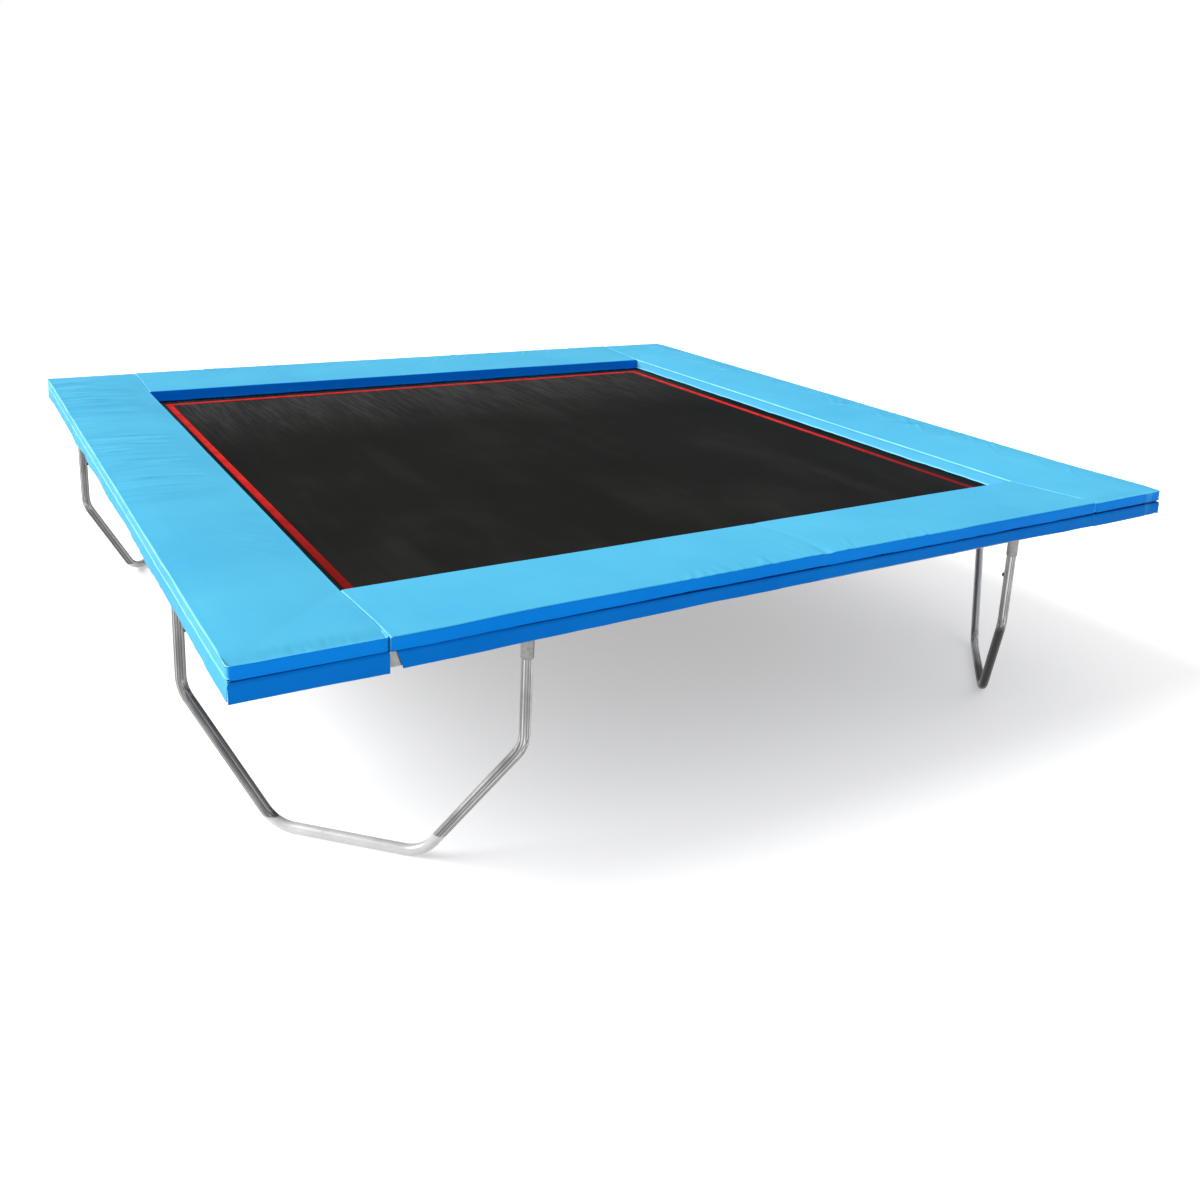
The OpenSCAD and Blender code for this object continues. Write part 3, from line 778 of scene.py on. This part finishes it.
def sewn_relief(side, s, u, z, normals, length, width):
    """How far a cover's points stand out along their normals: waves, seams, puckers, creases and gathers."""
    ends = side % 2 == 0
    half = length / 2
    seed = 10 * side
    up = smooth(normals[:, 2], 0.3, 0.9)
    wall = 1 - np.abs(normals[:, 2])
    # slow waviness of the covers
    bulge = up * MM * (0.8 * noise(s * 3.1, u * 5, seed) + 0.3 * noise(s * 9, u * 11, seed + 1))
    bulge += wall * MM * (0.9 * noise(s * 6, z * 20, seed + 2) + 0.5 * noise(s * 21, z * 40, seed + 3))
    # the two sewn seams round the sides, proud on the side pads' long faces
    proud = 0 * s if ends else smooth(np.abs(normals[:, 1]), 0.3, 0.8)
    bulge += wall * MM * ((0.7 + 1.9 * proud) * bell(z - 5.5 * MM, 2.4 * MM)
                          + 1.1 * proud * bell(z - PAD_THICK + TOP_ROUND + 1 * MM, 2.2 * MM))
    if side == 3:
        for k, (at, reach) in enumerate(PUCKERS):
            d = half - s
            line = u - at + (0.25 - 0.09 * k) * d
            ridge = bell(line, PUCKER_WIDTH) - 0.5 * bell(line, 2 * PUCKER_WIDTH)
            bulge += up * (PUCKER_HEIGHT * ridge - PUCKER_SINK) * bell(d - 0.02, reach)
    rows = [crease for row in CREASES[side] for crease in random_creases(*row)]
    bulge += up * creases(s, u, rows)
    if side == 0:
        pinch = bell(s - FOAM_MEET, 14 * MM)
        bulge -= MM * pinch * (5 * bell(u, 60 * MM) + 1.2) * np.maximum(up, 0.6 * wall)
    if not ends:
        # gathers where the cover is folded round its two ends
        rng = np.random.default_rng(50 + side)
        for end in (-1, 1):
            d = half - end * s
            for _ in range(GATHERS):
                at = rng.uniform(0.03, width - 0.03)
                w, h = rng.uniform(6, 12) * MM, rng.uniform(0.5, 1.2) * MM
                reach, lean = rng.uniform(0.02, 0.055), rng.uniform(-0.5, 0.5)
                bulge += up * h * (bell(u - at - lean * d, w) - 0.5) * bell(d - 0.012, reach)
    return bulge


def build_pad(side):
    name = SIDES[side]
    low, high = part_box(f"pad_cover_{name}")
    ends = side % 2 == 0
    size_x, size_y = high.x - low.x, high.y - low.y
    length, width = (size_x, size_y) if ends else (size_y, size_x)
    half = length / 2
    outer = [-low.y, high.x, high.y, -low.x][side]
    verts, quads, top_ids = pad_shell(length, width, PAD_THICK, END_CORNER if ends else SIDE_CORNER)
    verts = with_creased_top(verts, top_ids, side, length, width)
    normals = normals_of(verts, quads)
    bulge = sewn_relief(side, verts[:, 0] - half, verts[:, 1], verts[:, 2], normals, length, width)
    verts = verts + normals * bulge[:, None]
    s, u, z = verts[:, 0] - half, verts[:, 1], verts[:, 2]
    # the lower seam wanders a little
    wander = 1.3 * noise(s * 7, 0 * s, 10 * side + 5) + 0.8 * noise(s * 23, 0 * s, 10 * side + 6)
    z = z + smooth(PAD_THICK / 2 - z, 0, PAD_THICK / 3) * MM * wander
    # the inner part slopes down to the bed, and its underside falls further
    fall = (high.z - low.z) - PAD_THICK - PAD_DEEPER
    flat = outer - RAIL_INNER + 10 * MM
    share = np.clip((u - flat) / (width - flat), 0, 1)
    if not ends:
        share = np.minimum(share, np.clip((outer - flat - np.abs(s)) / (width - flat), 0, 1))
    knee = -1.0 * MM * bell(u - flat, 40 * MM)
    low_part = 1 - smooth(z, 0.25 * PAD_THICK, 0.75 * PAD_THICK)
    z = z - share * (fall + PAD_DEEPER * low_part) + knee * (1 - low_part)
    if side == 0:
        z = z + edge_height(s / (PADS_WIDTH / 2)) * smooth(width - u, 0, width)
    elif not ends:
        to_front = 1 if side == 3 else -1
        x = to_front * (u - PADS_WIDTH / 2) / (PADS_WIDTH / 2)
        z = z + edge_height(x) * smooth(to_front * s, half - 0.5, half)
    if ends:
        s = s * (1 + PRESSED / half)
    local = np.stack([s, outer - u, z + PAD_TOP - PAD_THICK], 1)
    obj = make(f"pad_{name}", turned(local, side), quads, "pad_vinyl")
    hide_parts(f"pad_cover_{name}", f"pad_foam_{name}")
    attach(obj, "frame")


for side in range(4):
    build_pad(side)


# ---------------------------------------------------------------- skirts
STRIP_ROWS, STRIP_STEP = 12, 8 * MM
# the side pads reach in to here
SIDE_PAD_INNER = -left_high.x
OUTER_END, OUTER_SIDE = -front_low.y, -left_low.x
END_HALF, SIDE_HALF = front_high.x, left_high.y


def hanging(name, node, side, start, stop, outer, drop_at, seed, cut=(0.0, 0.0), wave=1.0):
    """A strip that hangs from the pad's outer edge. Its first end is cut off by cut, above and below."""
    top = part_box(node)[1].z + 1 * MM
    n = max(6, round((stop - start) / STRIP_STEP))
    f = np.linspace(0, 1, n + 1)[:, None]
    v = np.linspace(0, 1, STRIP_ROWS + 1)[None, :]
    a = start + cut[0] + (cut[1] - cut[0]) * v
    s = a + (stop - a) * f
    z = top - (top - PAD_TOP + drop_at(s)) * v
    sway = wave * MM * v ** 1.3 * (2.6 * noise(s * 5, 0 * s, seed) + 1.3 * noise(s * 13, v * 1.5, seed + 1)
                                   + 0.5 * noise(s * 34, v * 2 + 5, seed + 2))
    tuck = 4.5 * MM * bell(v, 0.09) + 0 * s
    wavy = 0.9 * MM * noise(s * 8, v * 0, seed + 3) * bell(v, 0.25)
    hem = 0.9 * MM * bell(v - 1.0, 0.08)
    r = outer - 1.0 * MM - tuck + wavy + sway
    outside = np.stack([s, r + hem / 2 + 0 * s, z], -1)
    inside = np.stack([s, r - 1.5 * MM - hem, z], -1)
    verts, quads = slab(outside, inside)
    obj = make(name, turned(verts, side), quads, "skirt_vinyl")
    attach(obj, "frame")
    return obj


# how far below the pads' tops each strip's lower edge hangs
def front_depth(s):
    return MM * np.interp(s, [-1.42, -1.2, -0.6, 0.0, 0.9, 1.42], [98, 95, 89, 86, 84, 91])


def side_depth(s):
    return MM * (90 + 3 * noise(s * 2.2, s * 0, 71))


def left_end_depth(s):
    return MM * np.interp(s, [-1.83, -1.60, -1.41], [101, 102, 104])


def right_end_depth(s):
    return MM * np.interp(s, [1.41, 1.70, 1.80, 1.83], [92, 91, 89, 84])


def back_depth(s):
    return MM * (91 + 2 * noise(s * 2.0, s * 0, 72))


side_reach = SIDE_HALF - 1.5 * MM
for name, side, start, stop, outer, depth, seed, more in (
    ("front", 0, -END_HALF, END_HALF + PRESSED, OUTER_END, front_depth, 80, {"cut": (0.014, 0.032)}),
    ("back", 2, -END_HALF + 4 * MM, END_HALF - 4 * MM, OUTER_END, back_depth, 90, {}),
    ("left", 3, -side_reach, side_reach, OUTER_SIDE, side_depth, 100, {"wave": 1.5}),
    ("right", 1, -side_reach, side_reach, OUTER_SIDE, side_depth, 110, {"wave": 1.5}),
):
    strip = hanging(f"skirt_{name}_strip", f"skirt_{name}", side, start, stop, outer, depth, seed, **more)
    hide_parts(f"skirt_{name}")

left_end = (-OUTER_SIDE + 2 * MM, -SIDE_PAD_INNER - 1 * MM, left_end_depth)
right_end = (SIDE_PAD_INNER + 1 * MM, OUTER_SIDE - 2 * MM, right_end_depth)
for name, side, (start, stop, depth), seed, pad in (
    ("skirt_end_front_left", 0, left_end, 120, "pad_left"),
    ("skirt_end_front_right", 0, right_end, 125, "pad_right"),
    ("skirt_end_back_left", 2, right_end, 130, "pad_right"),
    ("skirt_end_back_right", 2, left_end, 135, "pad_left"),
):
    strip = hanging(name, "skirt_ends", side, start, stop, OUTER_END, depth, seed, wave=0.7)
    if name == "skirt_end_front_left":
        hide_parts("skirt_ends")


# ---------------------------------------------------------------- bed
BED_CELLS, EDGE_ROWS, EDGE_COLUMNS = 96, 4, 160


def bends(obj):
    """A bed piece, its place baked into its points."""
    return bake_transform(obj)


def bed_surface(s, r, side):
    """Small unevenness of the stretched bed, the same on both sides of a diagonal."""
    p = turned(np.stack([s, r, 0 * s], -1), side)
    x, y = p[..., 0], p[..., 1]
    calm = smooth(BED_HALF - r, 0.0, 0.25)
    return calm * MM * (1.6 * noise(x * 2.3, y * 1.6, 5) + 0.7 * noise(x * 6, y * 3, 6))


def wedge(side, r0, r1, z0, z1, rows=EDGE_ROWS, columns=EDGE_COLUMNS, uneven=0.0):
    """A quarter of a square ring between r0 and r1, or of the whole square if r0 is 0."""
    r = np.linspace(r0, r1, rows + 1)[:, None]
    f = np.linspace(-1, 1, columns + 1)[None, :]
    s = r * f
    r = r + 0 * f
    lift = uneven * bed_surface(s, r, side)
    top = np.stack([s, r, z1 + lift], -1)
    under = np.stack([s, r, z0 + lift], -1)
    verts, quads = slab(top, under)
    faces = quads.tolist()
    if r0 == 0:
        # the first row's points all lie in the middle: one of them is enough above, and one below
        m = columns + 1
        merge = np.arange(len(verts))
        merge[:m] = 0
        below = len(verts) // 2
        merge[below:below + m] = below
        faces = faces_kept(merge[quads])
        used = np.unique(np.concatenate([np.array(f) for f in faces]))
        index = np.full(len(verts), -1)
        index[used] = np.arange(len(used))
        faces = [[int(index[i]) for i in f] for f in faces]
        verts = verts[used]
    return turned(verts, side), faces


hem_in, band_in = HEM_OUT - HEM_WIDTH, BAND_OUT - BAND_WIDTH
for side, name in enumerate(SIDES):
    quarter = wedge(side, 0, BED_HALF, BED_UNDER, BED_TOP, BED_CELLS, BED_CELLS, uneven=1.0)
    hem_both = joined([wedge(side, hem_in, HEM_OUT, BED_TOP, BED_TOP + HEM_THICK),
                       wedge(side, hem_in, HEM_OUT, BED_UNDER - HEM_THICK, BED_UNDER)])
    bed = make(f"bed_{name}", *quarter, "bed_weave")
    hem = make(f"hem_{name}", *hem_both, "bed_webbing")
    band = make(f"band_{name}", *wedge(side, band_in, BAND_OUT, BED_TOP, BAND_TOP), "band_webbing")
    for piece in (bed, hem, band):
        bends(piece)
    if side == 0:
        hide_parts("jumping_bed")
        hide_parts("bed_hem")
        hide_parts("bed_band")

# ---------------------------------------------------------------- rings, tabs and springs
SPRINGS_A_SIDE, SPRING_PITCH = 24, 0.110
COIL_RADIUS, WIRE = 9 * MM, 3.2 * MM
HOOK_RADIUS, HOOK_WIRE, HOOK_SIDES = 5.5 * MM, 0.97 * WIRE / 2, 7
# points round the coil's surface, and steps to one turn of its wire
COIL_AROUND, COIL_STEPS = 12, 3
RING_BAR = BED_HALF + 7 * MM
RING_OUT = -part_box("v_rings_front")[0].y
RING_BEND, RING_WIRE = 3 * MM, 2 * MM
TAB_WIDTH, TAB_RADIUS, TAB_REACH, TAB_THICK = 30 * MM, 2.8 * MM, 39 * MM, 1.2 * MM


def spring_parts():
    """One spring in a side's terms, its axis along +r at height 0."""
    coil_start, coil_end = RING_OUT + 12 * MM, RAIL_INNER - 16 * MM
    turns = int((coil_end - coil_start) / WIRE)
    k = np.arange(turns * COIL_STEPS + 1)[:, None]
    j = np.arange(COIL_AROUND)[None, :]
    axial = np.clip(coil_start + WIRE * (k / COIL_STEPS + j / COIL_AROUND), coil_start, coil_end)
    phase = (k % COIL_STEPS) / COIL_STEPS
    bulge = np.abs(np.sin(math.pi * (phase + 1.0 / 6)))
    rad = COIL_RADIUS - WIRE / 2 + WIRE / 2 * bulge
    angle = 2 * math.pi * j / COIL_AROUND
    verts = np.stack([rad * np.cos(angle), axial + 0 * rad, rad * np.sin(angle)], -1)
    # the eye hook goes round the ring's tip, the L hook through the rail's slot
    middle = COIL_RADIUS - WIRE / 2
    eye = [(0, coil_start + 2 * MM, middle), (0, coil_start - 1.5 * MM, middle - 1.2 * MM),
           (0, coil_start - 4.5 * MM, 2.2 * MM)]
    for a in np.linspace(-0.15, 1.55 * math.pi, 16):
        flatter = 1 if a > 0 else 0.4
        eye.append((0, RING_OUT - 2 * MM + HOOK_RADIUS * math.cos(a), HOOK_RADIUS * math.sin(a) * flatter))
    far = RAIL_INNER + 9.7 * MM
    ell = [(0, coil_end - 2 * MM, -middle), (0, coil_end + 2 * MM, -middle + 1.5 * MM),
           (0, coil_end + 6 * MM, -1.5 * MM), (0, coil_end + 10 * MM, 0), (0, far - 3 * MM, 0),
           (0, far - 1 * MM, 0.6 * MM), (0, far, 3 * MM), (0, far, 6 * MM), (0, far - 1 * MM, 11 * MM)]
    return joined([(verts.reshape(-1, 3), skin(len(verts), COIL_AROUND)),
                   tube(eye, HOOK_WIRE, HOOK_SIDES), tube(ell, HOOK_WIRE, HOOK_SIDES)])


def loop_path():
    """A webbing loop, over a ring's bar and back: points in (outwards, up)."""
    arc = [(RING_BAR + TAB_RADIUS * math.cos(x), TAB_RADIUS * math.sin(x))
           for x in np.linspace(math.pi / 2, -math.pi / 2, 9)]
    run = np.linspace(TAB_REACH, 0, 6)[:-1]
    return [(RING_BAR - x, TAB_RADIUS) for x in run] + arc + [(RING_BAR - x, -TAB_RADIUS) for x in run[::-1]]


def ring_path():
    """A triangle with rounded corners: each corner's middle in millimetres, and its first and last angle."""
    out = []
    for along, outwards, first, last in ((15, 3, -90, 36.87), (0, 23, 36.87, 143.13), (-15, 3, 143.13, 270)):
        for a in np.radians(np.linspace(first, last, 7)):
            out.append((along * MM + RING_BEND * math.cos(a),
                        RING_BAR + outwards * MM + RING_BEND * math.sin(a), 0))
    return out


def many(part, offsets):
    """One (verts, faces) put at each offset."""
    verts, faces = part
    return joined([(verts + offset, faces) for offset in offsets])


one_spring = spring_parts()
one_tab = ribbon(loop_path(), TAB_WIDTH, TAB_THICK)
one_ring = tube(ring_path(), RING_WIRE, 10, closed=True)
places = (np.arange(SPRINGS_A_SIDE) - (SPRINGS_A_SIDE - 1) / 2) * SPRING_PITCH
offsets = [np.array([x, 0, (BED_TOP + BED_UNDER) / 2]) for x in places]
for side, name in enumerate(SIDES):
    for kind, part, node, slot in (
        ("springs", one_spring, f"springs_{name}", "zinc_steel"),
        ("rings", one_ring, f"v_rings_{name}", "zinc_steel"),
        ("tabs", one_tab, f"ring_tabs_{name}", "bed_webbing"),
    ):
        v, f = many(part, offsets)
        obj = make(f"{kind}_{name}", turned(v, side), f, slot)
        bends(obj)
        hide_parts(node)

# ---------------------------------------------------------------- straps that tie the pads down
STRAP_WIDTH, STRAP_THICK, STRAP_BEND = 25 * MM, 1.2 * MM, 5 * MM
# places along each side, in spring pitches from its middle
STRAP_PLACES = (-11, -6, 0, 6, 11)
strap_low, strap_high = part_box("pad_straps")
straight = (strap_high.z - strap_low.z) / 2 - STRAP_THICK / 2 - STRAP_BEND
loop = []
for cx, cz, turn in ((1, 1, 0), (-1, 1, 90), (-1, -1, 180), (1, -1, 270)):
    for a in np.radians(np.linspace(turn, turn + 90, 5)):
        loop.append((RAIL_MIDDLE + cx * straight + STRAP_BEND * math.cos(a),
                     (strap_low.z + strap_high.z) / 2 + cz * straight + STRAP_BEND * math.sin(a)))
one_strap = ribbon(loop, STRAP_WIDTH, STRAP_THICK, closed=True)
straps = []
for side in range(4):
    v, f = many(one_strap, [np.array([k * SPRING_PITCH, 0, 0]) for k in STRAP_PLACES])
    straps.append((turned(v, side), f))
strap = make("tie_straps", *joined(straps), "strap_webbing")
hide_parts("pad_straps")
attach(strap, "frame")

# ---------------------------------------------------------------- floor, light and camera
SPAN = 60.0
FLOOR_TONES = ((0.66, 0.66, 0.66), (0.68, 0.68, 0.68))
FLOOR_GLOW = 0.42
floor_mesh = bpy.data.meshes.new("floor")
floor_mesh.from_pydata([(SPAN * x, SPAN * y, 0) for x, y in ((-1, -1), (1, -1), (1, 1), (-1, 1))],
                       [], [(0, 1, 2, 3)])
floor = bpy.data.objects.new("floor", floor_mesh)
scene = bpy.context.scene
scene.collection.objects.link(floor)
floor_look = Look("floor", roughness=0.9, specular=0.1,
                  Emission_Strength=FLOOR_GLOW, Emission_Color=(1, 1, 1, 1))
floor_look.color(floor_look.shades(floor_look.noise(0.4, 3, 0.5), *FLOOR_TONES))
floor_mesh.materials.append(floor_look.mat)

# the camera sees white, and the object is lit by a sky that is dark near the ground: (rise, brightness)
SKY = [(0.0, 0.10), (0.10, 0.14), (0.32, 0.62), (0.55, 1.0), (1.0, 1.0)]
SKY_STRENGTH = 0.95
world = bpy.data.worlds.new("studio")
scene.world = world
world.use_nodes = True
tree = world.node_tree
tree.nodes.clear()
output, shown, lit, mix, rays, where, rise, sky = (
    tree.nodes.new(f"ShaderNode{kind}")
    for kind in ("OutputWorld", "Background", "Background", "MixShader", "LightPath", "TexCoord",
                 "SeparateXYZ", "ValToRGB"))
lit.inputs["Strength"].default_value = SKY_STRENGTH
shown.inputs["Color"].default_value = (1, 1, 1, 1)
shown.inputs["Strength"].default_value = 1.0
set_stops(sky.color_ramp, [(at, (grey, grey, grey)) for at, grey in SKY])
for source, target in (
    (where.outputs["Generated"], rise.inputs[0]), (rise.outputs[2], sky.inputs[0]),
    (sky.outputs[0], lit.inputs["Color"]), (rays.outputs["Is Camera Ray"], mix.inputs[0]),
    (lit.outputs[0], mix.inputs[1]), (shown.outputs[0], mix.inputs[2]), (mix.outputs[0], output.inputs[0]),
):
    tree.links.new(source, target)

SUN_STRENGTH, SUN_SPREAD, SUN_TOWARD = 5.0, math.radians(45), Vector((0.9, -0.5, -0.78))
sun_data = bpy.data.lights.new("key", "SUN")
sun_data.energy = SUN_STRENGTH
sun_data.angle = SUN_SPREAD
sun = bpy.data.objects.new("key", sun_data)
sun.rotation_mode = "QUATERNION"
sun.rotation_quaternion = SUN_TOWARD.to_track_quat("-Z", "Y")
sun.location = (-6, 2, 6)
scene.collection.objects.link(sun)

YAW, PITCH, ROLL = 0.5528, 0.2494, 0.0453
LENS, SENSOR, SHIFT_Y = 34.36, 36.0, -0.1333
# from the pads' front left corner, in widths of the pads
CAMERA_FROM_CORNER = Vector((-0.1568, -0.7027, 0.3363))
forward = Vector((math.sin(YAW) * math.cos(PITCH), math.cos(YAW) * math.cos(PITCH), -math.sin(PITCH)))
level = Vector((math.cos(YAW), -math.sin(YAW), 0))
above = level.cross(forward)
right = math.cos(ROLL) * level + math.sin(ROLL) * above
up = -math.sin(ROLL) * level + math.cos(ROLL) * above
camera_data = bpy.data.cameras.new("camera")
camera_data.sensor_width = SENSOR
camera_data.lens = LENS
camera_data.shift_y = SHIFT_Y
camera = bpy.data.objects.new("camera", camera_data)
scene.collection.objects.link(camera)
spot = Vector((left_low.x, front_low.y, PAD_TOP)) + PADS_WIDTH * CAMERA_FROM_CORNER
camera.matrix_world = Matrix((
    (right.x, up.x, -forward.x, spot.x),
    (right.y, up.y, -forward.y, spot.y),
    (right.z, up.z, -forward.z, spot.z),
    (0, 0, 0, 1),
))
scene.camera = camera
scene.view_settings.view_transform = "Standard"
scene.view_settings.look = "None"
